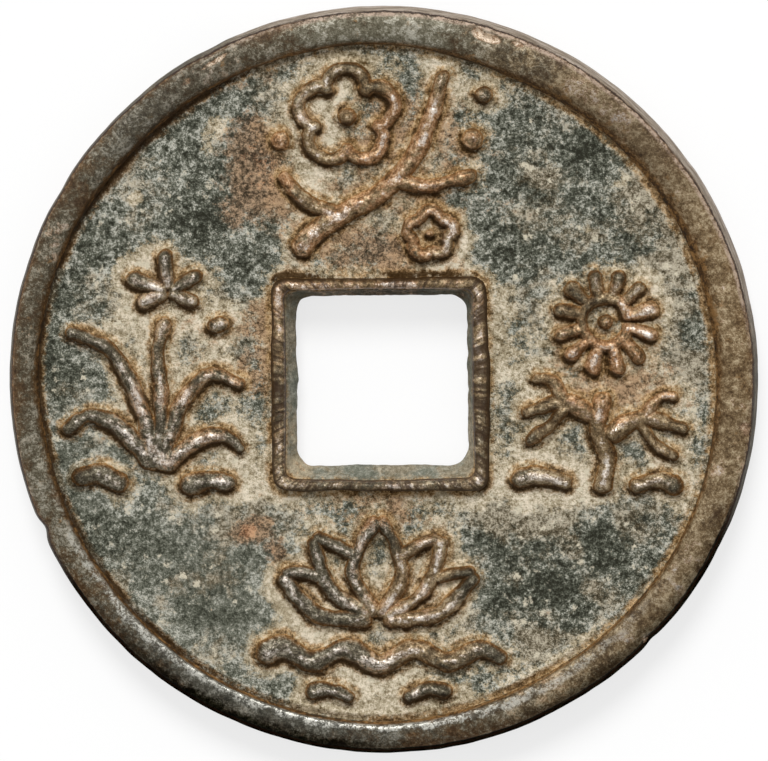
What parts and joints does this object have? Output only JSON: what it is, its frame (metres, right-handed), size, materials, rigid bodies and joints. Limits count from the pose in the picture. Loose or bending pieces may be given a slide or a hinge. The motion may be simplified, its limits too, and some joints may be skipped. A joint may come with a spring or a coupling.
{
  "type": "cash coin",
  "caption": "Round cast bronze coin with a square hole, raised rims on both faces and flower reliefs round the hole, for stringing on a cord.",
  "frame": {"origin": "on the table under the middle of the coin's outline, with the coin lying on its back face", "axes": "+Z out of the front face, along the coin's thickness; +Y towards the relief that reads as the top of the front face"},
  "size_m": [0.035, 0.035, 0.0026],
  "materials": {
    "rim_bronze": "handled brown bronze with dirt in its corners",
    "field_patina": "matt grey patina with pale earthy crust",
    "relief_bronze": "worn brown bronze lines with rust-coloured foot"
  },
  "bodies": {
    "root": {"outer_rim": "rim_bronze", "front_frame": "rim_bronze", "back_frame": "rim_bronze", "web": "field_patina", "plum_branch": "relief_bronze", "plum_blossom": "relief_bronze", "plum_blossom_heart": "relief_bronze", "plum_side_blossom": "relief_bronze", "plum_side_heart": "relief_bronze", "plum_bud_left": "relief_bronze", "plum_bud_right": "relief_bronze", "plum_bud_top": "relief_bronze", "chrysanthemum_head": "relief_bronze", "chrysanthemum_heart": "relief_bronze", "chrysanthemum_stem": "relief_bronze", "chrysanthemum_ground": "relief_bronze", "chrysanthemum_soil": "relief_bronze", "lotus_flower": "relief_bronze", "lotus_wave": "relief_bronze", "lotus_ripple_left": "relief_bronze", "lotus_ripple_right": "relief_bronze", "orchid_leaves": "relief_bronze", "orchid_flower": "relief_bronze", "orchid_bud": "relief_bronze", "orchid_ground_left": "relief_bronze", "orchid_ground_right": "relief_bronze"}
  },
  "joints": []
}
